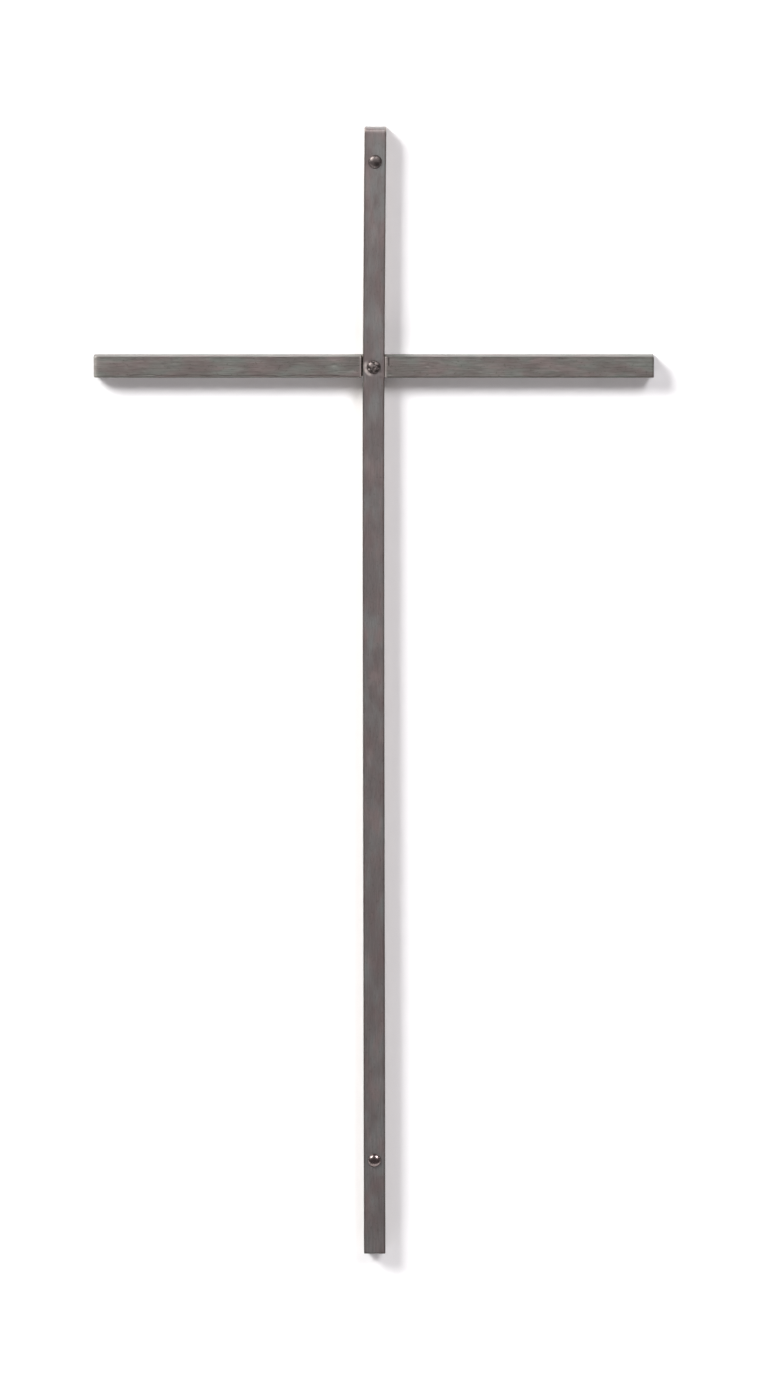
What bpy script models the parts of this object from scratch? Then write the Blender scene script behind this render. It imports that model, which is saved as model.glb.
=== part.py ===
"""A wall cross of two square brass bars, halved into each other and held by three domed nails.

Metres, +Z up. The cross faces -Y and its flat back lies in the plane y = 0.
The origin is in that back plane, at the middle of the crossing.
"""

import math

import bmesh
import bpy
from mathutils import Matrix

# The bars
BAR_DEPTH = 0.010
UPRIGHT_WIDTH = 0.010
CROSSBAR_HEIGHT = 0.0098
HEAD_LENGTH = 0.1095
FOOT_LENGTH = 0.4129
CROSSBAR_LENGTH = 0.2562

# The slight bend of the upright: both ends lean to +X of its waist, just below the crossing
WAIST_DROP = 0.0423
HEAD_LEAN = 0.00095
FOOT_LEAN = 0.00054
BEND_POWER = 1.5
UPRIGHT_STEPS = 24

# Edges: the front edge is filed round at the upright's head and the crossbar's left end, all others are only eased
END_ROUND = 0.0022
EDGE_EASE = 0.0004
EDGE_SEGMENTS = 3

# The halving joint
LAP_GAP = 0.0003
LEFT_SHOULDER_GAP = 0.0006
RIGHT_SHOULDER_GAP = 0.0003

# The nails
NAIL_HEAD_RADIUS = 0.0031
NAIL_HEAD_HEIGHT = 0.0013
NAIL_SEAT_GAP = 0.0003
SHANK_RADIUS = 0.0015
HOLE_CLEARANCE = 0.0003
TOP_NAIL_INSET = 0.0152
FOOT_NAIL_INSET = 0.0440
CENTRE_NAIL_COVER = 0.0020
ROUND_STEPS = 40
DOME_STEPS = 8

# How far a cutter runs past the material it cuts, and how near two places count as one
OVERCUT = 0.002
SAME_PLACE = 0.000001

# The finishes, as linear colours
BAR_COLOUR = (0.25, 0.23, 0.22)
BAR_ROUGHNESS = 0.5
NAIL_COLOUR = (0.15, 0.12, 0.115)
NAIL_ROUGHNESS = 0.3


def clear_scene():
    for thing in list(bpy.data.objects):
        bpy.data.objects.remove(thing, do_unlink=True)


def new_collection(name):
    collection = bpy.data.collections.new(name)
    bpy.context.scene.collection.children.link(collection)
    return collection


def finish(name, colour, roughness):
    """A metal finish: base colour, full metallic value and roughness."""
    material = bpy.data.materials.new(name)
    material.use_nodes = True
    shader = material.node_tree.nodes["Principled BSDF"]
    shader.inputs["Base Color"].default_value = (*colour, 1.0)
    shader.inputs["Metallic"].default_value = 1.0
    shader.inputs["Roughness"].default_value = roughness
    return material


def add_object(name, shape, collection, location=(0.0, 0.0, 0.0)):
    """An object with the mesh of a bmesh, which is freed."""
    mesh = bpy.data.meshes.new(name)
    shape.to_mesh(mesh)
    shape.free()
    thing = bpy.data.objects.new(name, mesh)
    thing.location = location
    collection.objects.link(thing)
    return thing


def box(size):
    """A box centred on its own origin."""
    shape = bmesh.new()
    bmesh.ops.create_cube(shape, size=1.0, matrix=Matrix.Diagonal((*size, 1.0)))
    return shape


def bend(z):
    """How far the upright stands off its waist, to +X, at height z above the crossing."""
    above_waist = z + WAIST_DROP
    if above_waist > 0:
        return HEAD_LEAN * (above_waist / (HEAD_LENGTH + WAIST_DROP)) ** BEND_POWER
    return FOOT_LEAN * (-above_waist / (FOOT_LENGTH - WAIST_DROP)) ** BEND_POWER


def upright_x(z):
    """The middle of the upright at height z. It is 0 at the crossing."""
    return bend(z) - bend(0.0)


def cut_into_steps(shape, axis, length, steps):
    """Cuts a box across into equal steps along one axis."""
    normal = [0.0, 0.0, 0.0]
    normal[axis] = 1.0
    for step in range(1, steps):
        place = [0.0, 0.0, 0.0]
        place[axis] = length * (step / steps - 0.5)
        everything = shape.verts[:] + shape.edges[:] + shape.faces[:]
        bmesh.ops.bisect_plane(shape, geom=everything, plane_co=place, plane_no=normal)


def weigh_edges(shape, axis, filed_end):
    """Gives the front edge of the filed end its full rounding, and every other outer edge its ease."""
    weights = shape.edges.layers.float.new("bevel_weight_edge")
    for edge in shape.edges:
        first, second = (vertex.co for vertex in edge.verts)
        along = abs(first[axis] - second[axis]) > SAME_PLACE
        at_end = abs(abs(first[axis]) - abs(filed_end)) < SAME_PLACE
        at_filed_end = abs(first[axis] - filed_end) < SAME_PLACE
        in_front = first.y < 0 and second.y < 0
        if along or at_end:
            edge[weights] = EDGE_EASE / END_ROUND
        if at_filed_end and in_front and not along:
            edge[weights] = 1.0


def round_edges(thing):
    bevel = thing.modifiers.new("rounded_edges", "BEVEL")
    bevel.limit_method = "WEIGHT"
    bevel.width = END_ROUND
    bevel.segments = EDGE_SEGMENTS


def cut(thing, cutter):
    """Takes the cutter's shape out of the object."""
    boolean = thing.modifiers.new("cut_" + cutter.name, "BOOLEAN")
    boolean.operation = "DIFFERENCE"
    boolean.solver = "EXACT"
    boolean.object = cutter


def box_cutter(name, low, high, cutters):
    """A box from one corner to the other, kept as a cutter."""
    size = [b - a for a, b in zip(low, high)]
    middle = [(a + b) / 2 for a, b in zip(low, high)]
    thing = add_object(name, box(size), cutters, middle)
    thing.hide_render = True
    thing.display_type = "WIRE"
    return thing


def hole_cutter(name, x, z, front, back, cutters):
    """A round hole for a nail's shank, running along Y from front to back."""
    shape = bmesh.new()
    radius = SHANK_RADIUS + HOLE_CLEARANCE
    bmesh.ops.create_cone(
        shape,
        cap_ends=True,
        segments=ROUND_STEPS,
        radius1=radius,
        radius2=radius,
        depth=back - front,
    )
    thing = add_object(name, shape, cutters, (x, (front + back) / 2, z))
    thing.rotation_euler = (math.radians(90), 0.0, 0.0)
    thing.hide_render = True
    thing.display_type = "WIRE"
    return thing


def make_upright(collection, cutters, metal):
    """The long bar. Its front half runs on through the crossing, and its back half is notched there."""
    length = HEAD_LENGTH + FOOT_LENGTH
    middle = (HEAD_LENGTH - FOOT_LENGTH) / 2
    shape = box((UPRIGHT_WIDTH, BAR_DEPTH, length))
    cut_into_steps(shape, 2, length, UPRIGHT_STEPS)
    weigh_edges(shape, 2, length / 2)
    for vertex in shape.verts:
        vertex.co.x += upright_x(vertex.co.z + middle)
    upright = add_object("upright", shape, collection, (0.0, -BAR_DEPTH / 2, middle))
    upright.data.materials.append(metal)
    round_edges(upright)

    half_notch = CROSSBAR_HEIGHT / 2 + LAP_GAP
    notch = box_cutter(
        "upright_notch",
        (-UPRIGHT_WIDTH, -BAR_DEPTH / 2, -half_notch),
        (UPRIGHT_WIDTH, OVERCUT, half_notch),
        cutters,
    )
    cut(upright, notch)
    through = (-BAR_DEPTH - OVERCUT, OVERCUT)
    for name, z in nail_heights().items():
        cut(upright, hole_cutter("upright_hole_" + name, upright_x(z), z, *through, cutters))
    return upright


def make_crossbar(collection, cutters, metal):
    """The short bar. Its back half runs on through the crossing, and its front half is notched there."""
    shape = box((CROSSBAR_LENGTH, BAR_DEPTH, CROSSBAR_HEIGHT))
    weigh_edges(shape, 0, -CROSSBAR_LENGTH / 2)
    crossbar = add_object("crossbar", shape, collection, (0.0, -BAR_DEPTH / 2, 0.0))
    crossbar.data.materials.append(metal)
    round_edges(crossbar)

    hole_end = HOLE_CLEARANCE - CENTRE_NAIL_COVER
    cut(crossbar, hole_cutter("crossbar_hole", 0.0, 0.0, -BAR_DEPTH - OVERCUT, hole_end, cutters))
    notch = box_cutter(
        "crossbar_notch",
        (-UPRIGHT_WIDTH / 2 - LEFT_SHOULDER_GAP, -BAR_DEPTH - OVERCUT, -CROSSBAR_HEIGHT),
        (UPRIGHT_WIDTH / 2 + RIGHT_SHOULDER_GAP, LAP_GAP - BAR_DEPTH / 2, CROSSBAR_HEIGHT),
        cutters,
    )
    cut(crossbar, notch)
    return crossbar


def nail_heights():
    """Each nail's height above the crossing."""
    return {
        "nail_top": HEAD_LENGTH - TOP_NAIL_INSET,
        "nail_centre": 0.0,
        "nail_foot": FOOT_NAIL_INSET - FOOT_LENGTH,
    }


def nail_profile(shank_length):
    """Half a nail from the top of its dome, down its rim and shank, to the middle of its end."""
    dome = []
    for step in range(DOME_STEPS + 1):
        angle = math.radians(90) * (1 - step / DOME_STEPS)
        dome.append((NAIL_HEAD_RADIUS * math.cos(angle), NAIL_HEAD_HEIGHT * math.sin(angle)))
    dome[0] = (0.0, NAIL_HEAD_HEIGHT)
    shank = [(SHANK_RADIUS, 0.0), (SHANK_RADIUS, -shank_length), (0.0, -shank_length)]
    return dome + shank


def make_nail(name, z, shank_length, collection, metal):
    """A domed nail turned about its own axis, its head standing on the face of the upright."""
    shape = bmesh.new()
    points = [shape.verts.new((x, 0.0, height)) for x, height in nail_profile(shank_length)]
    for first, second in zip(points, points[1:]):
        shape.edges.new((first, second))
    seat = -BAR_DEPTH - NAIL_SEAT_GAP
    nail = add_object(name, shape, collection, (upright_x(z), seat, z))
    nail.rotation_euler = (math.radians(90), 0.0, 0.0)
    nail.data.materials.append(metal)
    turned = nail.modifiers.new("turned", "SCREW")
    turned.axis = "Z"
    turned.steps = ROUND_STEPS
    turned.render_steps = ROUND_STEPS
    turned.use_merge_vertices = True
    turned.merge_threshold = SAME_PLACE
    turned.use_smooth_shade = True
    return nail


def main():
    clear_scene()
    parts = new_collection("brass_wall_cross")
    cutters = new_collection("cutters")

    make_upright(parts, cutters, finish("upright_patinated_brass", BAR_COLOUR, BAR_ROUGHNESS))
    make_crossbar(parts, cutters, finish("crossbar_patinated_brass", BAR_COLOUR, BAR_ROUGHNESS))
    whole_shank = BAR_DEPTH + NAIL_SEAT_GAP
    for name, z in nail_heights().items():
        shank = whole_shank - CENTRE_NAIL_COVER if name == "nail_centre" else whole_shank
        make_nail(name, z, shank, parts, finish(name + "_dark_brass", NAIL_COLOUR, NAIL_ROUGHNESS))


main()
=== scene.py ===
"""The looks of a wall cross of patinated brass: two halved bars, three nails and the pale wall behind them.

Metres, +Z up. The cross faces -Y, and its flat back lies in the plane y = 0.
"""

import math
import random
from contextlib import contextmanager

import bmesh
import bpy
from bpy.props import FloatProperty, FloatVectorProperty, IntProperty, PointerProperty
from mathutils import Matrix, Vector, noise


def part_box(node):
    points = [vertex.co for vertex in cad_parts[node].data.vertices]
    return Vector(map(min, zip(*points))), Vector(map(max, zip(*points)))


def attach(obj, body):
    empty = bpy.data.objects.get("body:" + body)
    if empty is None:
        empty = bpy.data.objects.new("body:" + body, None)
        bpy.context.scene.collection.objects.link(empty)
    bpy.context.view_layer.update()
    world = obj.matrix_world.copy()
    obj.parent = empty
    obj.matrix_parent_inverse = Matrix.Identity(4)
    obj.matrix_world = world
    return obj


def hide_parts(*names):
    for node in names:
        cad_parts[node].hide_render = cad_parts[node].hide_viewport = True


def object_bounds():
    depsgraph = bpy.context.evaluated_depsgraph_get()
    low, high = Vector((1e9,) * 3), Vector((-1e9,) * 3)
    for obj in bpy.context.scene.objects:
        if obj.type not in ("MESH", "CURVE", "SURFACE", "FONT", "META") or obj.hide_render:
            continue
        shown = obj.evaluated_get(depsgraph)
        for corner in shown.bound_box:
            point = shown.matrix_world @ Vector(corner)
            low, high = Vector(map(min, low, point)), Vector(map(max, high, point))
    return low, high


bl_info = {
    "name": "Patinated Wall Cross",
    "version": (1, 0, 0),
    "blender": (4, 5, 0),
    "location": "3D View > Sidebar > Wall Cross",
    "description": "Models the bars and nails of a brass wall cross and lights them on a pale wall",
    "category": "Add Mesh",
}

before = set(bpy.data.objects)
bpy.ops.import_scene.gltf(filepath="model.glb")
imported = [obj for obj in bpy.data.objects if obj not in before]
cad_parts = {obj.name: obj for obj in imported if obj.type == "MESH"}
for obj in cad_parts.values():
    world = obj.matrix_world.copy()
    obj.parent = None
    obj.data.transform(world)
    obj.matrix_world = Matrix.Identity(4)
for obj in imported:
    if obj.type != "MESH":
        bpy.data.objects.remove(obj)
CAD_LOW, CAD_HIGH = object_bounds()
CAD_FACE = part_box("crossbar")[0].y
MM = 0.001
X, Y, Z = 0, 1, 2


def from_millimetres(*rows):
    """Rows of lengths in millimetres, in metres."""
    return [[value * MM for value in row] for row in rows]


# Named values: the bars

# How far in from the face the flat of it reaches, and the front with its eased edges, and how long an end is
ON_FLAT = 0.3 * MM
ON_FRONT = 1.0 * MM
AT_END = 1.0 * MM
# How far in from the face dents reach, and how far a cutter runs past what it cuts
DENT_REACH = 1.5 * MM
OVERCUT = 2 * MM
# The bend is read from rings of points at one height, to this many digits, where the bar has its full width
RING_DIGITS = 4
FULL_WIDTH = 0.995

# A face points along an axis when its normal has this much of it
FACING = 0.9
# Only edges sharper than this are rubbed down
SHARP_EDGE = math.radians(50)
FILED_SEGMENTS = 10
FILED_PROFILE = 0.72
EASED_SEGMENTS = 3

# Unevenness: length of the waves along a bar, across it, and their share of the depth
SLOW_WAVES = (0.060, 0.011, 0.38)
QUICK_WAVES = (0.009, 0.004, 0.12)
UPRIGHT_SEED = 3.0
CROSSBAR_SEED = 11.0

# Distances between points, as shares of a bar's step: the upright's across, and the crossbar's along and across
UPRIGHT_ACROSS = 0.5
CROSSBAR_ALONG, CROSSBAR_ACROSS = 0.6, 0.4
ROD_SIDES = 48

# The upright has three times as many rings this near to the crossing
CROSSING_REACH = 7 * MM
# How much of the painted dark edge line shows beside the closed shoulder
RIM_AT_TIGHT_SHOULDER = 0.2
# The flank's thinner patina starts this far behind the face, and fades this far inside the side
FLANK_START = 1.5 * MM
FLANK_FADE = 0.5 * MM

# The beaten ring around the middle nail: dents as (x, z, radius, depth), where a negative depth is raised
NAIL_DISH = from_millimetres(
    (0.0, 0.0, 4.9, 0.22),
    (-3.7, 0.2, 1.6, -0.10),
    (-3.1, -2.1, 1.5, -0.10),
    (3.3, -2.6, 1.3, 0.10),
    (1.6, 4.0, 1.4, 0.08),
)
# The painted highlight crescent in it: its radius and width, the middle of its arc and half the arc, in degrees
CRESCENT_RADIUS = 3.9 * MM
CRESCENT_WIDTH = 0.9 * MM
CRESCENT_TURN = 195
CRESCENT_HALF_ARC = 66
CRESCENT_STRENGTH = 1.9
CRESCENT_TIP_STRENGTH = 2.4
# It is broken up by lumps of this size, from a middle amount and by this much more or less
CRESCENT_LUMP = 1.1 * MM
CRESCENT_LEVEL, CRESCENT_UNEVEN = 0.8, 0.7

# Painted highlights on the crossbar's shoulders and its filed end: how bright they are, and how far in
SHOULDER_HIGHLIGHT, SHOULDER_HIGHLIGHT_REACH = 0.7, 1.1 * MM
END_HIGHLIGHT, END_HIGHLIGHT_REACH = 0.25, 3.4 * MM

# The stray saw mark beside the right shoulder, down from the top edge, as points (x, z)
SAW_MARK_X = 6.8 * MM
SAW_MARK = [(SAW_MARK_X, z * MM) for z in (5.0, 3.5, 2.0, 0.8)]
SAW_MARK_HALF_WIDTH, SAW_MARK_DEPTH = 0.22 * MM, 0.16 * MM
SAW_MARK_DIRT, SAW_MARK_DIRT_REACH = 1.2, 0.36 * MM
SAW_MARK_ROOM, SAW_MARK_STEP = 0.4 * MM, 0.1 * MM

# The wavy scratch along the lower edge of the left arm
SCRATCH_START, SCRATCH_STEP, SCRATCH_POINTS = -0.1116, 0.0012, 81
SCRATCH_HEIGHT, SCRATCH_WAVE, SCRATCH_WAVE_LENGTH = -3.85 * MM, 0.55 * MM, 0.007
SCRATCH_HALF_WIDTH, SCRATCH_DEPTH = 0.28 * MM, 0.10 * MM
SCRATCH_DIRT, SCRATCH_DIRT_REACH = 0.9, 0.42 * MM
SCRATCH_LOW, SCRATCH_HIGH, SCRATCH_ROW = -4.5 * MM, -3.2 * MM, 0.13 * MM
# Past this a point is far from any line
FAR_FROM_LINE = 1.0 * MM

PIT_SEED = 5
PIT_RADIUS = (0.5, 1.0)
PIT_DEPTH_SHARE = (0.3, 1.0)
PIT_CLEAR_OF_CROSSING = 1.0 * MM

# Named values: the nails

NAIL_NODES = ("nail_top", "nail_centre", "nail_foot")
HEAD_SEGMENTS, HEAD_RINGS = 64, 48
NEAR_SEAT = 0.1 * MM
BEATEN_ABOVE_SEAT = 0.2 * MM
# No mark sinks a point by more than this share of its height above the upright's face
DEEPEST_MARK = 0.6
NAIL_SMOOTH_DEGREES = 40

# Marks on the nails' heads, as (x, z, radius) from the middle of the head
HEAD_NAIL_MARKS = from_millimetres((1.5, 1.1, 2.2), (1.2, -1.4, 2.0))
HEAD_NAIL_MARK_DEPTH = 0.12 * MM
HEAD_NAIL_DIRT = 0.7
HEAD_LUMP = 1.6 * MM
HEAD_NAIL_SEED, FOOT_NAIL_SEED = 2.0, 7.0
HAMMER_MARKS = from_millimetres(
    (-2.2, -0.3, 1.0), (-1.3, -1.9, 1.1), (1.7, -1.7, 1.2), (2.6, 0.4, 0.8), (0.3, 2.0, 0.9), (0.4, -0.1, 0.7)
)
HAMMER_MARK_DEPTH = 0.36 * MM
HAMMER_DIRT = 0.85
HAMMER_LUMP, HAMMER_LUMP_DEPTH = 1.1 * MM, 0.10 * MM
# Dark cuts across the middle nail's head, as points (x, z) from left to right
HAMMER_CUTS = (
    from_millimetres((-0.7, 2.7), (0.6, 1.2), (2.7, 0.1)),
    from_millimetres((-2.8, 0.7), (-1.5, -1.0), (-0.1, -2.6)),
    from_millimetres((0.5, -2.0), (1.6, -1.3), (2.4, -1.0)),
)
HAMMER_CUT_HALF_WIDTH, HAMMER_CUT_DEPTH = 0.5 * MM, 0.2 * MM

HEAD_NAIL_ROUGHNESS = 0.42
FOOT_NAIL_ROUGHNESS = 0.25
CROSSING_NAIL_ROUGHNESS = 0.48

# Named values: the patina

# Each pattern: millimetres along the bar and across it, detail, and the noise that counts as none and as full
COOL_CLOUDS = (14, 6, 4.0, 0.42, 0.62)
WARM_CLOUDS = (16, 6, 4.0, 0.46, 0.64)
STREAKS = (11, 0.9, 4.0, 0.3, 0.7)
# The file's own lines are finer: they are drawn half a millimetre wide so that they show
FILE_LINES = (5, 0.5, 3.0, 0.3, 0.7)
SPECKS = (1.2, 0.8, 1.0, 0.63, 0.75)
TARNISH = (2.2, 2.2, 4.0, 0.38, 0.66)
# The grain of the cast head is finer too
HEAD_GRAIN = (0.5, 0.5, 3.0, 0.35, 0.65)
# The second of two patterns of one kind is moved by this, so that they don't lie on each other
PATTERN_SHIFT = (0.3, 0.1, 0.2)

# How much lighter and darker the streaks are, and how strongly each other layer covers what is below it
UPRIGHT_STREAK, CROSSBAR_STREAK = 0.13, 0.26
# RIM_SHARE: how dark the painted shade along the front's edges is
WARM_SHARE, SPECK_SHARE, RIM_SHARE, FLANK_SHARE = 0.9, 1.6, 0.9, 0.8
# Painted shade along the upright: its colour is scaled from the first value at the foot to the second at the
# head
FOOT_PAINTED_SHADE, HEAD_PAINTED_LIGHT = 0.86, 1.12
# Roughness, and the depth of each bump
STREAK_ROUGHNESS = 0.05
PLAIN_ROUGHNESS, CLOUD_ROUGHNESS = 0.46, 0.54
STREAK_BUMP, STREAK_BUMP_DEPTH = 2, 0.05 * MM
LINE_BUMP, LINE_BUMP_DEPTH = 1.5, 0.02 * MM
# The nails' heads, and the paint
TARNISH_SHARE = 0.55
NAIL_DIRT_SHADE = 0.4
LESS_ROUGH, MORE_ROUGH = 0.03, 0.06
GRAIN_BUMP, GRAIN_BUMP_DEPTH = 0.12, 0.02 * MM
PAINT_ROUGHNESS, PAINT_SPECULAR = 0.9, 0.1

# A Mix node's sockets when it mixes colours
FACTOR, FIRST, SECOND, MIXED = 0, 6, 7, 2

# Named values: the stage

WALL_STAND_OFF = 0.3 * MM
WALL_WIDTH, WALL_HEIGHT, WALL_MIDDLE = 6.0, 3.2, 0.2
# The openings behind the bars are smaller than the bars by this, and by this much more for the bend's left side
OPENING_INSET = 1.5 * MM
BEND_INSET = 1.0 * MM
FLOOR_DEPTH, FLOOR_HEIGHT = 1.2, -1.4

# The share of light that the wall gives back, and the place that the softboxes point at
WALL_ALBEDO = 0.85
LIT_MIDDLE = (0.0, 0.0, -0.1)
# Each softbox: name, place, width and height, how bright it makes the wall, and its tint
SOFTBOXES = (
    ("left_softbox", (-2.16, -2.00, 1.97), (1.45, 1.40), 0.71, (1.0, 1.0, 1.0)),
    ("right_softbox", (3.26, -5.64, 4.34), (2.55, 2.60), 0.37, (0.98, 0.97, 1.0)),
)
# The room's own light in front of the wall and behind it, how quickly one turns to the other, and how it looks
FRONT_FILL = [part * 0.2 for part in (1.0, 0.88, 0.92)]
REAR_FILL = (0.75, 0.74, 0.74)
FILL_EDGE = 0.05
SEEN_ROOM = (0.85, 0.85, 0.86)

# The photograph's height and the crossing's row in pixels, and how many pixels a metre takes at one metre
PHOTO_HEIGHT = 1392
CROSSING_ROW = 367.2
PIXELS_PER_METRE = 11015
SENSOR_WIDTH = 36.0
# How far right of the crossing the camera stands, and how far it sees
CAMERA_X = 0.00471
FAR_CLIP = 50.0


# What a user can change


def linear(hex_colour):
    """An sRGB hex colour as linear red, green and blue."""
    parts = [int(hex_colour[i : i + 2], 16) / 255 for i in (1, 3, 5)]
    return tuple(c / 12.92 if c <= 0.04045 else ((c + 0.055) / 1.055) ** 2.4 for c in parts)


def colour(name, description, hex_colour):
    """A colour that a user can change."""
    return FloatVectorProperty(
        name=name, description=description, subtype="COLOR", size=3, min=0.0, max=1.0,
        default=linear(hex_colour),
    )


def length(name, description, metres):
    """A length that a user can change."""
    return FloatProperty(
        name=name, description=description, unit="LENGTH", min=0.0, precision=5, default=metres
    )


class BarSettings(bpy.types.PropertyGroup):
    """Sizes of the wear and tool marks on the two bars."""

    edge_ease: length("Edge ease", "How far the long edges are rubbed down", 0.0004)
    filed_round: length("Filed round", "Reach of the filed edges at the head and the left end", 0.0030)
    # The rim is painted shade: a dark line along the front's edges, where they look dark against the bright
    # wall
    rim_width: length("Rim width", "How far the dark line along the edges reaches into the front", 0.0010)
    step: length("Step", "Distance between the points along a bar", 0.001)
    unevenness: length("Unevenness", "Depth of the slow waves in the faces", 0.00007)
    pit_depth: length("Pit depth", "Depth of the deepest pits in the crossbar", 0.00016)
    pit_count: IntProperty(name="Pits", description="How many pits the crossbar has", default=110, min=0)
    shoulder_gap: length("Left shoulder gap", "Open gap between the bars, on the left", 0.0006)
    tight_gap: length("Right shoulder gap", "Closed shoulder on the right", 0.00008)
    lap_gap: length("Lap gap", "Room between the halved faces", 0.0003)


class NailSettings(bpy.types.PropertyGroup):
    """Sizes of the nails that the photograph shows only from the front."""

    shank_radius: length("Shank radius", "Radius of the nails' shanks", 0.0015)
    hole_radius: length("Hole radius", "Radius of the drilled holes", 0.0018)
    head_wave: length("Head wave", "Unevenness of the domed heads", 0.00004)


class ColourSettings(bpy.types.PropertyGroup):
    """Colours of the patina, as the metal reflects white light."""

    upright: colour("Upright", "Grey patina of the upright", "#8a8482")
    upright_cool: colour("Upright, cool", "Its cooler, greener clouds", "#848482")
    upright_warm: colour("Upright, warm", "Its warmer, redder clouds", "#8d817f")
    crossbar: colour("Crossbar", "Grey-brown patina of the crossbar", "#8c8883")
    crossbar_cool: colour("Crossbar, cool", "Its cooler, greener clouds", "#868983")
    crossbar_warm: colour("Crossbar, warm", "Its warmer, redder clouds", "#918683")
    flank: colour("Flanks", "Thinner, warmer patina on the upright's two sides", "#a09482")
    # This colour is painted highlight: the bright shoulders, the filed left end and the crescent by the middle
    # nail
    bare: colour("Bare brass", "Brass that shows at the sawn shoulders and hammer marks", "#cfc6c0")
    # Along the front's edges this colour is painted shade. In the pits, the saw mark, the scratch and on the
    # nails it is dirt
    dirt: colour("Dirt", "Dirt in the pits and along the edges", "#4a4542")
    nail: colour("Nail", "Darkened brass of the foot nail, rubbed smooth", "#7d7270")
    dull_nail: colour("Dull nail", "Darker brass of the two upper nails", "#6c6462")
    wall: colour("Wall", "Pale wall and floor", "#eeeeee")


class StageSettings(bpy.types.PropertyGroup):
    """Camera and lights."""

    camera_distance: length("Camera distance", "From the front of the cross", 5.0)
    camera_height: length("Camera height", "Above the crossing", 0.6)


def settings(group):
    """One group of the values that a user can change."""
    return getattr(bpy.context.scene, "wall_cross_" + group)


# Modelling by hand, in code


def pick(piece):
    """Makes a piece the only selected and active object, in object mode. With none, nothing is selected."""
    if bpy.context.object and bpy.context.object.mode != "OBJECT":
        bpy.ops.object.mode_set(mode="OBJECT")
    bpy.ops.object.select_all(action="DESELECT")
    if piece:
        piece.select_set(True)
        bpy.context.view_layer.objects.active = piece


@contextmanager
def editing(piece):
    """Edit mode on one piece, with nothing selected at first."""
    pick(piece)
    bpy.ops.object.mode_set(mode="EDIT")
    bpy.ops.mesh.select_all(action="DESELECT")
    yield
    bpy.ops.object.mode_set(mode="OBJECT")


def select(piece, kind, test):
    """In edit mode, selects only the vertices, edges or faces that pass a test."""
    bpy.ops.mesh.select_mode(type={"verts": "VERT", "edges": "EDGE", "faces": "FACE"}[kind])
    bpy.ops.mesh.select_all(action="DESELECT")
    shape = bmesh.from_edit_mesh(piece.data)
    for part in getattr(shape, kind):
        if test(part):
            part.select_set(True)
    bmesh.update_edit_mesh(piece.data)


def take_new(name):
    """Names the object that was just added, and moves its place, turn and size into its mesh."""
    added = bpy.context.object
    added.name = name
    bpy.ops.object.transform_apply(location=True, rotation=True, scale=True)
    return added


def add_box(name, low, high):
    """A box between two corners."""
    low, high = Vector(low), Vector(high)
    pick(None)
    bpy.ops.mesh.primitive_cube_add(size=1.0, location=(low + high) / 2, scale=high - low)
    return take_new(name)


def add_rod(name, place, radius, depth):
    """A round rod along Y, centred on a place."""
    pick(None)
    bpy.ops.mesh.primitive_cylinder_add(
        vertices=ROD_SIDES, radius=radius, depth=depth, location=place, rotation=(math.radians(90), 0, 0)
    )
    return take_new(name)


def add_sheet(name, place, rotation, width, depth):
    """A flat rectangle centred on a place."""
    pick(None)
    bpy.ops.mesh.primitive_plane_add(size=1.0, location=place, rotation=rotation)
    bpy.context.object.scale = (width, depth, 1.0)
    return take_new(name)


def slice_across(piece, axis, places):
    """In edit mode, cuts the whole piece across at each place along an axis."""
    normal = Vector([float(i == axis) for i in range(3)])
    for place in places:
        bpy.ops.mesh.select_all(action="SELECT")
        bpy.ops.mesh.bisect(plane_co=normal * place, plane_no=normal)


def steps_between(low, high, step):
    """Evenly spaced places between two ends, about a step apart, without the ends."""
    count = max(1, round((high - low) / step))
    return [low + (high - low) * i / count for i in range(1, count)]


def extrude(move):
    """In edit mode, extrudes the selected faces by a move."""
    bpy.ops.mesh.extrude_region_move(TRANSFORM_OT_translate={"value": move})


def subtract(piece, cutter):
    """Cuts the cutter's shape out of the piece and removes the cutter."""
    cut = piece.modifiers.new("cut", "BOOLEAN")
    cut.operation = "DIFFERENCE"
    cut.solver = "EXACT"
    cut.object = cutter
    pick(piece)
    bpy.ops.object.modifier_apply(modifier=cut.name)
    bpy.data.objects.remove(cutter, do_unlink=True)


def smooth(piece, degrees=30):
    """Shades the piece smoothly, but for edges sharper than the angle."""
    pick(piece)
    bpy.ops.object.shade_smooth_by_angle(angle=math.radians(degrees))


def mark_surface(piece, values):
    """Stores values from 0 to 1 for the material, each worked out from a point's place by its own function."""
    for name, value_at in values.items():
        stored = piece.data.attributes.new(name, "FLOAT", "POINT").data
        for vertex, point in zip(piece.data.vertices, stored):
            point.value = min(1.0, max(0.0, value_at(vertex.co)))


# Marks on a surface, as seen from the front


def hollow(place, x, z, radius):
    """1 in the middle of a round hollow, falling smoothly to 0 at its radius."""
    away = math.hypot(place.x - x, place.z - z) / radius
    return (1 - away * away) ** 2 if away < 1 else 0.0


def press(piece, dents):
    """Presses round dents into the front face, each (x, z, radius, depth)."""
    for vertex in piece.data.vertices:
        if vertex.co.y > CAD_FACE + DENT_REACH:
            continue
        for x, z, radius, depth in dents:
            vertex.co.y += depth * hollow(vertex.co, x, z, radius)


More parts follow.
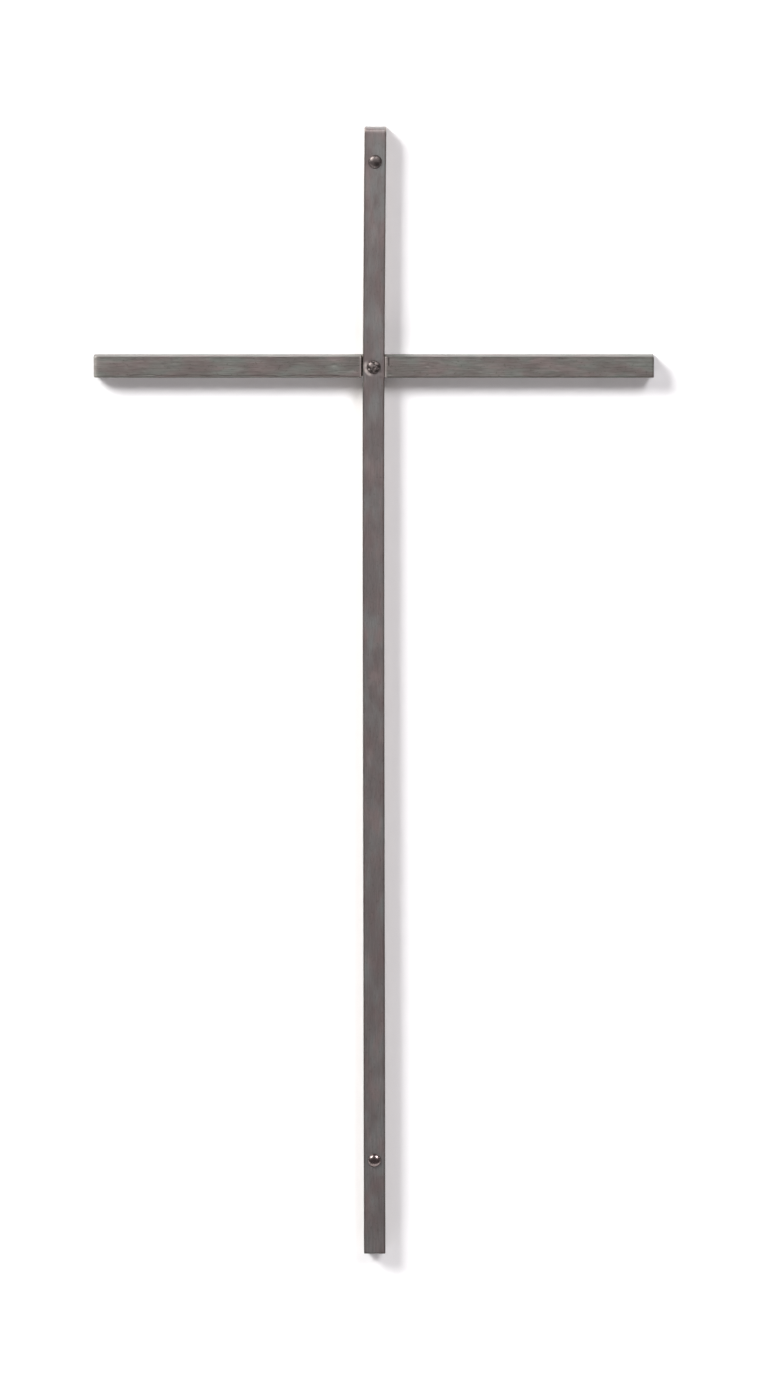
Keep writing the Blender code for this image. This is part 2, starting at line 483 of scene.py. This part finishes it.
def distance_to_line(place, line):
    """How far a place is from a line of points (x, z) that run from left to right."""
    if not line[0][0] - FAR_FROM_LINE < place.x < line[-1][0] + FAR_FROM_LINE:
        return FAR_FROM_LINE
    nearest = FAR_FROM_LINE
    for (x0, z0), (x1, z1) in zip(line, line[1:]):
        if min(x0, x1) - FAR_FROM_LINE < place.x < max(x0, x1) + FAR_FROM_LINE:
            dx, dz = x1 - x0, z1 - z0
            share = ((place.x - x0) * dx + (place.z - z0) * dz) / (dx * dx + dz * dz)
            share = min(1.0, max(0.0, share))
            nearest = min(nearest, math.hypot(place.x - x0 - share * dx, place.z - z0 - share * dz))
    return nearest


def score_face(piece, line, half_width, depth):
    """Scratches a groove into the front face along a line."""
    for vertex in piece.data.vertices:
        if vertex.co.y > CAD_FACE + ON_FRONT:
            continue
        away = distance_to_line(vertex.co, line)
        if away < half_width:
            vertex.co.y += depth * (1 - away / half_width)


def near_edge(place, low, high):
    """On a box's front, 1 on its edges and 0 away from them: where the painted dark edge line of shade goes.

    Of the gaps to the box's sides the smallest is the one to its front, so the second smallest counts.
    """
    if place.y > CAD_FACE + ON_FLAT:
        return 0.0
    gaps = sorted(min(place[i] - low[i], high[i] - place[i]) for i in (X, Y, Z))
    return 1 - gaps[1] / settings("bars").rim_width


# The bars


def middle_line(node):
    """A bent bar's width, and the middle of it at each ring of points, as (height, x) from foot to head."""
    rings = {}
    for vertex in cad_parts[node].data.vertices:
        rings.setdefault(round(vertex.co.z, RING_DIGITS), []).append(vertex.co.x)
    widest = max(max(xs) - min(xs) for xs in rings.values())
    full = FULL_WIDTH * widest
    return widest, sorted((z, (min(xs) + max(xs)) / 2) for z, xs in rings.items() if max(xs) - min(xs) > full)


def along(line, z):
    """Reads the middle line at a height."""
    for (z0, x0), (z1, x1) in zip(line, line[1:]):
        if z <= z1:
            return x0 + (x1 - x0) * (z - z0) / (z1 - z0)
    return line[-1][1]


def round_ends_and_edges(bar, filed_edge):
    """Files one end's front edge round and rubs down all the other sharp edges."""
    bars = settings("bars")
    with editing(bar):
        select(bar, "edges", filed_edge)
        bpy.ops.mesh.bevel(
            offset=bars.filed_round, segments=FILED_SEGMENTS, profile=FILED_PROFILE, affect="EDGES"
        )
        select(bar, "edges", lambda edge: edge.calc_face_angle(0.0) > SHARP_EDGE)
        bpy.ops.mesh.bevel(offset=bars.edge_ease, segments=EASED_SEGMENTS, affect="EDGES")


def waves(place, along_axis, seed):
    """Slow and quick unevenness of a hand-worked face, from 0 to 1. The seed makes the two bars differ."""
    shift = Vector((seed, 0.3 * seed, 0.7 * seed))
    height = 0.5
    for long, wide, share in (SLOW_WAVES, QUICK_WAVES):
        scaled = Vector([part / (long if i == along_axis else wide) for i, part in enumerate(place)])
        height += share * noise.noise(scaled + shift)
    return height


def work_faces(bar, along_axis, seed):
    """Presses each point in by the unevenness of its face."""
    depth = settings("bars").unevenness
    normals = [vertex.normal.copy() for vertex in bar.data.vertices]
    for vertex, normal in zip(bar.data.vertices, normals):
        vertex.co -= normal * depth * waves(vertex.co, along_axis, seed)


def hole_for(node, front, back):
    """A rod as wide as a nail's hole, from front to back."""
    nail_low, nail_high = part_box(node)
    x, z = (nail_low.x + nail_high.x) / 2, (nail_low.z + nail_high.z) / 2
    return add_rod("hole", (x, (front + back) / 2, z), settings("nails").hole_radius, back - front)


def painted_crescent_highlight(place):
    """The painted highlight of a bright crescent left of and below the middle nail, on the beaten dish around
    it.
    """
    if place.y > CAD_FACE + ON_FRONT:
        return 0.0
    reach = math.hypot(place.x, place.z)
    turn = math.degrees(math.atan2(place.z, place.x)) % 360
    across = 1 - abs(reach - CRESCENT_RADIUS) / CRESCENT_WIDTH
    around = 1 - abs(turn - CRESCENT_TURN) / CRESCENT_HALF_ARC
    brightness = CRESCENT_LEVEL + CRESCENT_UNEVEN * noise.noise(place / CRESCENT_LUMP)
    return CRESCENT_STRENGTH * max(0.0, across) * min(1.0, max(0.0, CRESCENT_TIP_STRENGTH * around)) * brightness


class WALLCROSS_OT_upright(bpy.types.Operator):
    """Model the long bar, bent as the frame's, with its rear notch and nail holes"""

    bl_idname = "wall_cross.upright"
    bl_label = "Upright"

    def execute(self, context):
        bars = settings("bars")
        low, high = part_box("upright")
        width, line = middle_line("upright")
        straight_low, straight_high = Vector((-width / 2, low.y, low.z)), Vector((width / 2, high.y, high.z))
        bar = add_box("upright_bar", straight_low, straight_high)
        half_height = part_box("crossbar")[1].z

        def filed_edge(edge):
            middle = (edge.verts[0].co + edge.verts[1].co) / 2
            return middle.z > high.z - AT_END and middle.y < low.y + ON_FRONT

        round_ends_and_edges(bar, filed_edge)
        near = CROSSING_REACH
        with editing(bar):
            slice_across(bar, Z, steps_between(low.z, -near, bars.step))
            slice_across(bar, Z, steps_between(-near, near, bars.step / 3))
            slice_across(bar, Z, steps_between(near, high.z, bars.step))
            slice_across(bar, X, steps_between(-width / 2, width / 2, bars.step * UPRIGHT_ACROSS))
            slice_across(bar, Y, steps_between(low.y, high.y, bars.step))
        for vertex in bar.data.vertices:
            vertex.co.x += along(line, vertex.co.z)
        work_faces(bar, Z, UPRIGHT_SEED)
        press(bar, NAIL_DISH)

        half_notch = half_height + bars.lap_gap
        notch_low = (-width, (low.y + high.y) / 2, -half_notch)
        subtract(bar, add_box("notch", notch_low, (width, high.y + width, half_notch)))
        for node in NAIL_NODES:
            subtract(bar, hole_for(node, low.y - OVERCUT, high.y + OVERCUT))
        smooth(bar)

        # Painted shade: a dark line along the front's edges, fainter beside the closed shoulder
        def rim(place):
            dark = near_edge(place - Vector((along(line, place.z), 0, 0)), straight_low, straight_high)
            at_tight_shoulder = place.x > 0 and abs(place.z) < half_height
            return RIM_AT_TIGHT_SHOULDER * dark if at_tight_shoulder else dark

        def flank(place):
            from_side = width / 2 - abs(place.x - along(line, place.z))
            return min((place.y - CAD_FACE) / FLANK_START, 1 - from_side / FLANK_FADE)

        # The crescent by the middle nail is painted highlight
        mark_surface(bar, {"rim": rim, "bare": painted_crescent_highlight, "flank": flank, "dirty": lambda place: 0.0})
        bar.data.materials.clear()
        bar.data.materials.append(patinated_bar("smooth_patinated_brass_bar", "upright", Z, UPRIGHT_STREAK))
        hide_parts("upright")
        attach(bar, "root")
        return {"FINISHED"}


def wavy_scratch():
    """The points of the wavy scratch."""
    xs = [SCRATCH_START + SCRATCH_STEP * i for i in range(SCRATCH_POINTS)]
    places = [Vector((x / SCRATCH_WAVE_LENGTH, 1.7, 0.4)) for x in xs]
    return [(x, SCRATCH_HEIGHT + SCRATCH_WAVE * noise.noise(place)) for x, place in zip(xs, places)]


def pits(low, high, left, right):
    """Small round pits at random places on the crossbar's two arms, each (x, z, radius, depth)."""
    bars = settings("bars")
    dice = random.Random(PIT_SEED)
    found = []
    while len(found) < bars.pit_count:
        x, z = dice.uniform(low.x, high.x), dice.uniform(low.z, high.z)
        radius = dice.uniform(*PIT_RADIUS) * MM
        if not left - PIT_CLEAR_OF_CROSSING < x < right + PIT_CLEAR_OF_CROSSING:
            found.append((x, z, radius, bars.pit_depth * dice.uniform(*PIT_DEPTH_SHARE)))
    return found


class WALLCROSS_OT_crossbar(bpy.types.Operator):
    """Model the short bar, halved behind the upright, with its shoulders, pits and one saw mark"""

    bl_idname = "wall_cross.crossbar"
    bl_label = "Crossbar"

    def execute(self, context):
        bars = settings("bars")
        low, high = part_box("crossbar")
        width, _ = middle_line("upright")
        left, right = -width / 2 - bars.shoulder_gap, width / 2 + bars.tight_gap
        lap = (low.y + high.y) / 2 + bars.lap_gap
        bar = add_box("crossbar_bar", low, (left, high.y, high.z))
        with editing(bar):
            slice_across(bar, Y, [lap])
            select(bar, "faces", lambda face: face.normal.x > FACING and face.calc_center_median().y > lap)
            extrude((right - left, 0, 0))
            extrude((high.x - right, 0, 0))
            select(bar, "faces", lambda face: face.normal.y < -FACING and face.calc_center_median().x > right)
            extrude((0, low.y - lap, 0))

        def filed_edge(edge):
            middle = (edge.verts[0].co + edge.verts[1].co) / 2
            in_front = middle.y < low.y + ON_FRONT
            return middle.x < low.x + AT_END and in_front and abs(middle.z) < MM

        round_ends_and_edges(bar, filed_edge)
        saw_left, saw_right = SAW_MARK_X - SAW_MARK_ROOM, SAW_MARK_X + SAW_MARK_ROOM
        with editing(bar):
            slice_across(bar, X, steps_between(low.x, high.x, bars.step * CROSSBAR_ALONG))
            slice_across(bar, X, steps_between(saw_left, saw_right, SAW_MARK_STEP))
            slice_across(bar, Z, steps_between(low.z, high.z, bars.step * CROSSBAR_ACROSS))
            slice_across(bar, Z, steps_between(SCRATCH_LOW, SCRATCH_HIGH, SCRATCH_ROW))
            slice_across(bar, Y, steps_between(low.y, high.y, bars.step))
        work_faces(bar, X, CROSSBAR_SEED)
        press(bar, pits(low, high, left, right))
        scratch = wavy_scratch()
        score_face(bar, SAW_MARK, SAW_MARK_HALF_WIDTH, SAW_MARK_DEPTH)
        score_face(bar, scratch, SCRATCH_HALF_WIDTH, SCRATCH_DEPTH)

        shank_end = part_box("nail_centre")[1].y
        subtract(bar, hole_for("nail_centre", low.y - OVERCUT, shank_end + bars.lap_gap))
        smooth(bar)

        # Painted highlights: bright lines along the shoulders' edges, and a lighter filed left end
        def bare(place):
            if place.y > CAD_FACE + ON_FRONT:
                return 0.0
            from_shoulder = min(abs(place.x - left), abs(place.x - right))
            at_shoulder = SHOULDER_HIGHLIGHT * (1 - from_shoulder / SHOULDER_HIGHLIGHT_REACH)
            return max(at_shoulder, END_HIGHLIGHT * (1 - (place.x - low.x) / END_HIGHLIGHT_REACH))

        def dirty(place):
            if place.y > CAD_FACE + ON_FRONT:
                return 0.0
            in_saw_mark = SAW_MARK_DIRT - distance_to_line(place, SAW_MARK) / SAW_MARK_DIRT_REACH
            return max(in_saw_mark, SCRATCH_DIRT - distance_to_line(place, scratch) / SCRATCH_DIRT_REACH)

        # The first mark is painted shade, a dark line along the front's edges
        mark_surface(bar, {"rim": lambda place: near_edge(place, low, high), "bare": bare, "dirty": dirty})
        bar.data.materials.clear()
        bar.data.materials.append(patinated_bar("streaked_patinated_brass_bar", "crossbar", X, CROSSBAR_STREAK))
        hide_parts("crossbar")
        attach(bar, "root")
        return {"FINISHED"}


# The nails


def add_nail(name, node):
    """A domed nail made from a squashed ball, whose underside runs on into a shank, and its highest point."""
    low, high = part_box(node)
    radius = (high.x - low.x) / 2
    x, z = (low.x + high.x) / 2, (low.z + high.z) / 2
    pick(None)
    bpy.ops.mesh.primitive_uv_sphere_add(
        segments=HEAD_SEGMENTS, ring_count=HEAD_RINGS, radius=1.0, location=(x, CAD_FACE, z),
        rotation=(math.radians(90), 0, 0), scale=(radius, radius, CAD_FACE - low.y),
    )
    nail = take_new(name)

    def underside(face):
        return face.normal.y > FACING and face.calc_center_median().y > CAD_FACE - NEAR_SEAT

    with editing(nail):
        bpy.ops.mesh.select_all(action="SELECT")
        bpy.ops.mesh.bisect(plane_co=(x, CAD_FACE, z), plane_no=(0, 1, 0), clear_outer=True, use_fill=True)
        select(nail, "faces", underside)
        bpy.ops.mesh.inset(thickness=radius - settings("nails").shank_radius)
        extrude((0, high.y - CAD_FACE, 0))
    return nail, Vector((x, low.y, z))


def dented(out, marks):
    """1 in the middle of the nearest mark, falling to 0 at its radius."""
    return max((hollow(out, *mark) for mark in marks), default=0.0)


def cut_in(out):
    """1 along the cuts in the middle nail's head, falling to 0 beside them."""
    return max(0.0, *(1 - distance_to_line(out, line) / HAMMER_CUT_HALF_WIDTH for line in HAMMER_CUTS))


def sink(vertex, depth):
    """Presses a point of a nail's head in, and leaves it above the upright's face."""
    vertex.co.y += min(depth, DEEPEST_MARK * (CAD_FACE - vertex.co.y))


def finish_nail(nail, node, material):
    """Gives a nail its brass, and puts it in its node's place."""
    smooth(nail, NAIL_SMOOTH_DEGREES)
    nail.data.materials.clear()
    nail.data.materials.append(material)
    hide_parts(node)
    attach(nail, "root")


class WALLCROSS_OT_domed_nails(bpy.types.Operator):
    """Model the smooth domed nails at the head and the foot"""

    bl_idname = "wall_cross.domed_nails"
    bl_label = "Domed nails"

    def execute(self, context):
        wave = settings("nails").head_wave
        colours = settings("colours")
        for name, node, shade, roughness, seed, marks in (
            ("head_nail", "nail_top", colours.dull_nail, HEAD_NAIL_ROUGHNESS, HEAD_NAIL_SEED, HEAD_NAIL_MARKS),
            ("foot_nail", "nail_foot", colours.nail, FOOT_NAIL_ROUGHNESS, FOOT_NAIL_SEED, ()),
        ):
            nail, top = add_nail(name, node)
            for vertex in nail.data.vertices:
                if vertex.co.y < CAD_FACE - NEAR_SEAT:
                    out = vertex.co - top
                    lump = noise.noise(out / HEAD_LUMP + Vector((seed, 0, 0)))
                    sink(vertex, wave * (0.5 + 0.5 * lump) + HEAD_NAIL_MARK_DEPTH * dented(out, marks))
            mark_surface(nail, {"dirty": lambda place: HEAD_NAIL_DIRT * dented(place - top, marks)})
            finish_nail(nail, node, nail_brass(name + "_darkened_brass", shade, roughness))
        return {"FINISHED"}


class WALLCROSS_OT_hammered_nail(bpy.types.Operator):
    """Model the middle nail, whose head is beaten into rough flats"""

    bl_idname = "wall_cross.hammered_nail"
    bl_label = "Hammered nail"

    def execute(self, context):
        nail, top = add_nail("crossing_nail", "nail_centre")
        for vertex in nail.data.vertices:
            out = vertex.co - top
            if vertex.co.y > CAD_FACE - BEATEN_ABOVE_SEAT:
                continue
            lump = HAMMER_LUMP_DEPTH * (1 + noise.noise(Vector((out.x, 0.0, out.z)) / HAMMER_LUMP))
            marks = HAMMER_MARK_DEPTH * dented(out, HAMMER_MARKS) + HAMMER_CUT_DEPTH * cut_in(out)
            sink(vertex, lump + marks)

        def dirty(place):
            return max(HAMMER_DIRT * dented(place - top, HAMMER_MARKS), cut_in(place - top))

        mark_surface(nail, {"dirty": dirty})
        shade = settings("colours").dull_nail
        brass = nail_brass("crossing_nail_darkened_brass", shade, CROSSING_NAIL_ROUGHNESS)
        finish_nail(nail, "nail_centre", brass)
        return {"FINISHED"}


# Materials


def add_node(tree, kind, inputs=None, **options):
    """Adds a node, sets its options, and gives each named input a value or the socket that feeds it."""
    node = tree.nodes.new(kind)
    for option, value in options.items():
        setattr(node, option, value)
    for socket, value in (inputs or {}).items():
        if isinstance(value, bpy.types.NodeSocket):
            tree.links.new(value, node.inputs[socket])
        else:
            node.inputs[socket].default_value = value
    return node


def new_material(name):
    """A material with an empty tree but for its shader and output."""
    material = bpy.data.materials.new(name)
    material.use_nodes = True
    return material, material.node_tree, material.node_tree.nodes["Principled BSDF"]


def rgba(value):
    """A colour with full opacity."""
    return (*value, 1.0)


def pattern(tree, place, along_axis, kind):
    """One of the named patterns, laid along an axis and stretched to fill 0 to 1."""
    long, wide, detail, none, full = kind
    scale = [1 / ((long if i == along_axis else wide) * MM) for i in range(3)]
    mapped = add_node(tree, "ShaderNodeMapping", {"Vector": place, "Scale": scale}).outputs["Vector"]
    lumps = add_node(tree, "ShaderNodeTexNoise", {"Vector": mapped, "Scale": 1.0, "Detail": detail})
    stretched = {"Value": lumps.outputs["Fac"], "From Min": none, "From Max": full}
    return add_node(tree, "ShaderNodeMapRange", stretched).outputs["Result"]


def patinated_bar(name, part, along_axis, streak):
    """Drawn square brass bar, filed by hand and darkened by age."""
    # To the eye: dull satin metal, grey-brown with greener and redder clouds, streaked lengthwise, with a
    # painted dark line of shade along its edges and painted highlights
    colours = settings("colours")
    plain, cool, warm = (rgba(getattr(colours, part + shade)) for shade in ("", "_cool", "_warm"))
    dirt = rgba(colours.dirt)
    material, tree, shader = new_material(name)
    place = add_node(tree, "ShaderNodeTexCoord").outputs["Object"]
    moved = add_node(tree, "ShaderNodeMapping", {"Vector": place, "Location": PATTERN_SHIFT}).outputs["Vector"]
    cool_clouds = pattern(tree, place, along_axis, COOL_CLOUDS)
    warm_clouds = pattern(tree, moved, along_axis, WARM_CLOUDS)
    streaks = pattern(tree, place, along_axis, STREAKS)
    file_lines = pattern(tree, moved, along_axis, FILE_LINES)
    specks = pattern(tree, place, along_axis, SPECKS)
    rim, bare, dirty = (
        add_node(tree, "ShaderNodeAttribute", attribute_name=mark).outputs["Fac"]
        for mark in ("rim", "bare", "dirty")
    )

    # From the bottom up: how each layer is laid on, where, from how little to how much, and its colour
    layers = [
        ("MIX", cool_clouds, 0.0, 1.0, cool),
        ("MIX", warm_clouds, 0.0, WARM_SHARE, warm),
        ("MULTIPLY", streaks, 1 - streak, 1 + streak, None),
        ("MULTIPLY", file_lines, 1 - streak / 2, 1 + streak / 2, None),
        ("MIX", specks, 0.0, SPECK_SHARE * streak, dirt),
        # Painted shade: a dark line along the front's edges
        ("MIX", rim, 0.0, RIM_SHARE, dirt),
        # Painted highlight: the bright shoulders, filed end and crescent
        ("MIX", bare, 0.0, 1.0, rgba(colours.bare)),
        ("MIX", dirty, 0.0, 1.0, dirt),
    ]
    if part == "upright":
        # Its sides are warmer, and painted shade darkens it slowly from the head to the foot, where less light
        # falls
        flank = add_node(tree, "ShaderNodeAttribute", attribute_name="flank").outputs["Fac"]
        height = add_node(tree, "ShaderNodeSeparateXYZ", {0: place}).outputs["Z"]
        falloff_span = {"Value": height, "From Min": CAD_LOW.z, "From Max": CAD_HIGH.z}
        painted_falloff = add_node(tree, "ShaderNodeMapRange", falloff_span).outputs["Result"]
        layers.append(("MIX", flank, 0.0, FLANK_SHARE, rgba(colours.flank)))
        layers.append(("MULTIPLY", painted_falloff, FOOT_PAINTED_SHADE, HEAD_PAINTED_LIGHT, None))
    base = plain
    for how, where, low, high, tint in layers:
        spread = {"Value": where, "To Min": low, "To Max": high}
        amount = add_node(tree, "ShaderNodeMapRange", spread).outputs["Result"]
        laid_on = {FACTOR: amount, SECOND: tint} if how == "MIX" else {FACTOR: 1.0, SECOND: amount}
        base = add_node(
            tree, "ShaderNodeMix", {FIRST: base, **laid_on}, data_type="RGBA", blend_type=how
        ).outputs[MIXED]
    tree.links.new(base, shader.inputs["Base Color"])

    # Streaks are rubbed a little smoother, and cool clouds are a little rougher
    smoother = {"Value": streaks, "To Min": STREAK_ROUGHNESS, "To Max": -STREAK_ROUGHNESS}
    rougher = {"Value": cool_clouds, "To Min": PLAIN_ROUGHNESS, "To Max": CLOUD_ROUGHNESS}
    in_streaks, in_clouds = (
        add_node(tree, "ShaderNodeMapRange", spread).outputs["Result"] for spread in (smoother, rougher)
    )
    rough = add_node(tree, "ShaderNodeMath", {0: in_streaks, 1: in_clouds}, operation="ADD").outputs[0]
    tree.links.new(rough, shader.inputs["Roughness"])
    shader.inputs["Metallic"].default_value = 1.0

    grooves = {"Strength": STREAK_BUMP * streak, "Distance": STREAK_BUMP_DEPTH, "Height": streaks}
    grooved = add_node(tree, "ShaderNodeBump", grooves).outputs[0]
    lines = {"Strength": LINE_BUMP * streak, "Distance": LINE_BUMP_DEPTH, "Height": file_lines}
    lined = add_node(tree, "ShaderNodeBump", {**lines, "Normal": grooved}).outputs[0]
    tree.links.new(lined, shader.inputs["Normal"])
    return material


def nail_brass(name, shade, roughness):
    """Cast brass nail head, darkened by age and rubbed smooth."""
    # To the eye: a dark bead with a soft gloss, which mirrors the lights as small bright patches
    colours = settings("colours")
    material, tree, shader = new_material(name)
    place = add_node(tree, "ShaderNodeTexCoord").outputs["Object"]
    tarnish = pattern(tree, place, Y, TARNISH)
    grain = pattern(tree, place, Y, HEAD_GRAIN)
    partly = {"Value": tarnish, "To Max": TARNISH_SHARE}
    tarnished = add_node(tree, "ShaderNodeMapRange", partly).outputs["Result"]
    dirty = add_node(tree, "ShaderNodeAttribute", attribute_name="dirty").outputs["Fac"]
    darkest = rgba([NAIL_DIRT_SHADE * part for part in colours.dirt])
    base = rgba(shade)
    for amount, tint in ((tarnished, rgba(colours.dirt)), (dirty, darkest)):
        laid_on = {FACTOR: amount, FIRST: base, SECOND: tint}
        base = add_node(tree, "ShaderNodeMix", laid_on, data_type="RGBA").outputs[MIXED]
    tree.links.new(base, shader.inputs["Base Color"])
    shader.inputs["Metallic"].default_value = 1.0
    uneven = {"Value": tarnish, "To Min": roughness - LESS_ROUGH, "To Max": roughness + MORE_ROUGH}
    tree.links.new(add_node(tree, "ShaderNodeMapRange", uneven).outputs["Result"], shader.inputs["Roughness"])
    grained = {"Strength": GRAIN_BUMP, "Distance": GRAIN_BUMP_DEPTH, "Height": grain}
    tree.links.new(add_node(tree, "ShaderNodeBump", grained).outputs[0], shader.inputs["Normal"])
    return material


def white_paint(name, clear_from_behind):
    """Rolled white wall paint."""
    # To the eye: flat, even white that takes soft shadows. From behind, the wall is clear
    material, tree, shader = new_material(name)
    shader.inputs["Base Color"].default_value = rgba(settings("colours").wall)
    shader.inputs["Roughness"].default_value = PAINT_ROUGHNESS
    shader.inputs["Specular IOR Level"].default_value = PAINT_SPECULAR
    if clear_from_behind:
        behind = add_node(tree, "ShaderNodeNewGeometry").outputs["Backfacing"]
        clear = add_node(tree, "ShaderNodeBsdfTransparent").outputs[0]
        mixed = add_node(tree, "ShaderNodeMixShader", {0: behind, 1: shader.outputs[0], 2: clear}).outputs[0]
        tree.links.new(mixed, tree.nodes["Material Output"].inputs["Surface"])
    return material


# The stage


def add_wall():
    """A wall just behind the cross, open right behind the bars so that it doesn't black out their backs."""
    upright_low, upright_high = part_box("upright")
    bar_low, bar_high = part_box("crossbar")
    width, _ = middle_line("upright")
    place = (0, WALL_STAND_OFF, WALL_MIDDLE)
    wall = add_sheet("wall", place, (math.radians(90), 0, 0), WALL_WIDTH, WALL_HEIGHT)
    inset = OPENING_INSET
    slot_left, slot_right = -width / 2 + inset + BEND_INSET, width / 2 - inset
    slot_foot, slot_head = upright_low.z + inset, upright_high.z - inset
    arm_left, arm_right = bar_low.x + inset, bar_high.x - inset
    arm_foot, arm_head = bar_low.z + inset, bar_high.z - inset

    def behind_a_bar(face):
        x, _, z = face.calc_center_median()
        on_upright = slot_left < x < slot_right and slot_foot < z < slot_head
        return on_upright or (arm_left < x < arm_right and arm_foot < z < arm_head)

    with editing(wall):
        slice_across(wall, X, [slot_left, slot_right, arm_left, arm_right])
        slice_across(wall, Z, [arm_foot, arm_head, slot_foot, slot_head])
        select(wall, "faces", behind_a_bar)
        bpy.ops.mesh.delete(type="FACE")
    return wall


def add_softbox(name, place, size, wall_level, tint):
    """A rectangular softbox aimed at the cross, as strong as lights the wall there to the given level."""
    way = Vector(LIT_MIDDLE) - Vector(place)
    slant = way.y / way.length
    lamp = bpy.data.lights.new(name, "AREA")
    lamp.shape = "RECTANGLE"
    lamp.size, lamp.size_y = size
    lamp.energy = wall_level * math.pi**2 * way.length_squared / (WALL_ALBEDO * slant)
    lamp.color = tint
    light = bpy.data.objects.new(name, lamp)
    light.location = place
    light.rotation_euler = way.to_track_quat("-Z", "Y").to_euler()
    bpy.context.scene.collection.objects.link(light)


def pale_room():
    """The room's own soft light: dim in front of the wall, brighter behind it, and pale to the camera."""
    world = bpy.data.worlds.new("pale_room")
    world.use_nodes = True
    tree = world.node_tree
    way = add_node(tree, "ShaderNodeTexCoord").outputs["Generated"]
    depth = add_node(tree, "ShaderNodeSeparateXYZ", {0: way}).outputs["Y"]
    turn = {"Value": depth, "From Min": -FILL_EDGE, "From Max": FILL_EDGE}
    behind = add_node(tree, "ShaderNodeMapRange", turn).outputs["Result"]
    seen = add_node(tree, "ShaderNodeLightPath").outputs["Is Camera Ray"]
    shown = rgba(FRONT_FILL)
    for amount, light in ((behind, REAR_FILL), (seen, SEEN_ROOM)):
        mixed = {FACTOR: amount, FIRST: shown, SECOND: rgba(light)}
        shown = add_node(tree, "ShaderNodeMix", mixed, data_type="RGBA").outputs[MIXED]
    tree.links.new(shown, tree.nodes["Background"].inputs["Color"])
    return world


def add_camera(distance, height):
    """A camera at the photograph's viewing angle, with the crossing on the photograph's row."""
    below_middle = math.atan((PHOTO_HEIGHT / 2 - CROSSING_ROW) / PIXELS_PER_METRE)
    pitch = math.atan2(height, distance) + below_middle
    lens = bpy.data.cameras.new("camera")
    lens.sensor_width = SENSOR_WIDTH
    lens.lens = SENSOR_WIDTH * PIXELS_PER_METRE / PHOTO_HEIGHT
    lens.clip_end = FAR_CLIP
    camera = bpy.data.objects.new("camera", lens)
    camera.location = (CAMERA_X, CAD_FACE - distance, height)
    camera.rotation_euler = (math.radians(90) - pitch, 0.0, 0.0)
    bpy.context.scene.collection.objects.link(camera)
    return camera


class WALLCROSS_OT_stage(bpy.types.Operator):
    """Set up the pale wall and floor, two softboxes and the camera"""

    bl_idname = "wall_cross.stage"
    bl_label = "Stage"

    def execute(self, context):
        stage = settings("stage")
        wall = add_wall()
        wall.data.materials.append(white_paint("rolled_white_wall_paint", True))
        # A narrow strip along the foot of the wall, so that little light comes up from it
        floor = add_sheet("floor", (0, -FLOOR_DEPTH / 2, FLOOR_HEIGHT), (0, 0, 0), WALL_WIDTH, FLOOR_DEPTH)
        floor.data.materials.append(white_paint("rolled_white_floor_paint", False))
        for softbox in SOFTBOXES:
            add_softbox(*softbox)
        context.scene.world = pale_room()
        context.scene.view_settings.view_transform = "Standard"
        context.scene.camera = add_camera(stage.camera_distance, stage.camera_height)
        return {"FINISHED"}


class WALLCROSS_PT_panel(bpy.types.Panel):
    """The cross's operators and settings, in the 3D view's sidebar"""

    bl_idname = "WALLCROSS_PT_panel"
    bl_label = "Wall Cross"
    bl_space_type = "VIEW_3D"
    bl_region_type = "UI"
    bl_category = "Wall Cross"

    def draw(self, context):
        for operator in OPERATORS:
            self.layout.operator(operator.bl_idname)
        for group in GROUPS:
            box = self.layout.box()
            values = settings(group)
            for name in values.__annotations__:
                box.prop(values, name)


GROUPS = {"bars": BarSettings, "nails": NailSettings, "colours": ColourSettings, "stage": StageSettings}
OPERATORS = (
    WALLCROSS_OT_upright,
    WALLCROSS_OT_crossbar,
    WALLCROSS_OT_domed_nails,
    WALLCROSS_OT_hammered_nail,
    WALLCROSS_OT_stage,
)


def register():
    for group, kind in GROUPS.items():
        bpy.utils.register_class(kind)
        setattr(bpy.types.Scene, "wall_cross_" + group, PointerProperty(type=kind))
    for kind in (*OPERATORS, WALLCROSS_PT_panel):
        bpy.utils.register_class(kind)


def unregister():
    for kind in (WALLCROSS_PT_panel, *reversed(OPERATORS)):
        bpy.utils.unregister_class(kind)
    for group, kind in reversed(GROUPS.items()):
        delattr(bpy.types.Scene, "wall_cross_" + group)
        bpy.utils.unregister_class(kind)


def main():
    register()
    bpy.ops.wall_cross.upright()
    bpy.ops.wall_cross.crossbar()
    bpy.ops.wall_cross.domed_nails()
    bpy.ops.wall_cross.hammered_nail()
    bpy.ops.wall_cross.stage()


if __name__ == "__main__":
    main()
